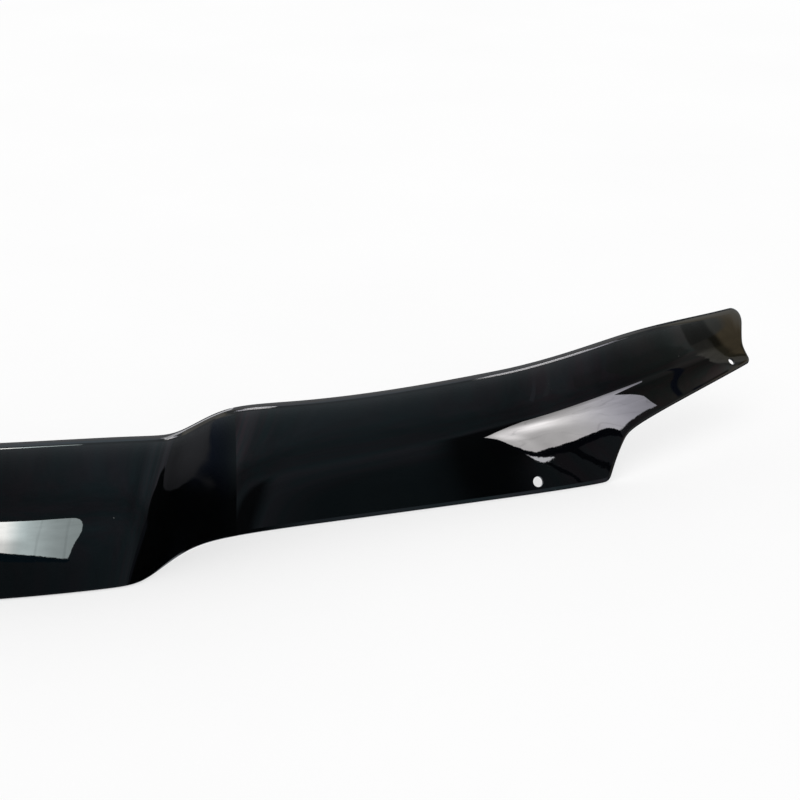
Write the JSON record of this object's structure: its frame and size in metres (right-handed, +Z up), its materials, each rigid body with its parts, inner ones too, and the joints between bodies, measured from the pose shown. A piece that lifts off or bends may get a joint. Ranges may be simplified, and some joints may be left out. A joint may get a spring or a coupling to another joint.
{
  "type": "hood bug deflector",
  "caption": "Glossy black moulded deflector shell that wraps across a hood's nose, with a raised centre panel, swept wings, a rolled edge and cut-back wing tips with screw holes.",
  "frame": {"origin": "bottom centre of the bounding box, on the symmetry plane", "axes": "+X across the vehicle to its left side, +Y rearward over the hood, +Z up; the outer face looks to -Y"},
  "size_m": [1.4976, 0.4246, 0.1167],
  "materials": {
    "smoked_acrylic": "high gloss, opaque black"
  },
  "bodies": {
    "root": {"deflector_shell": "smoked_acrylic"}
  },
  "joints": []
}
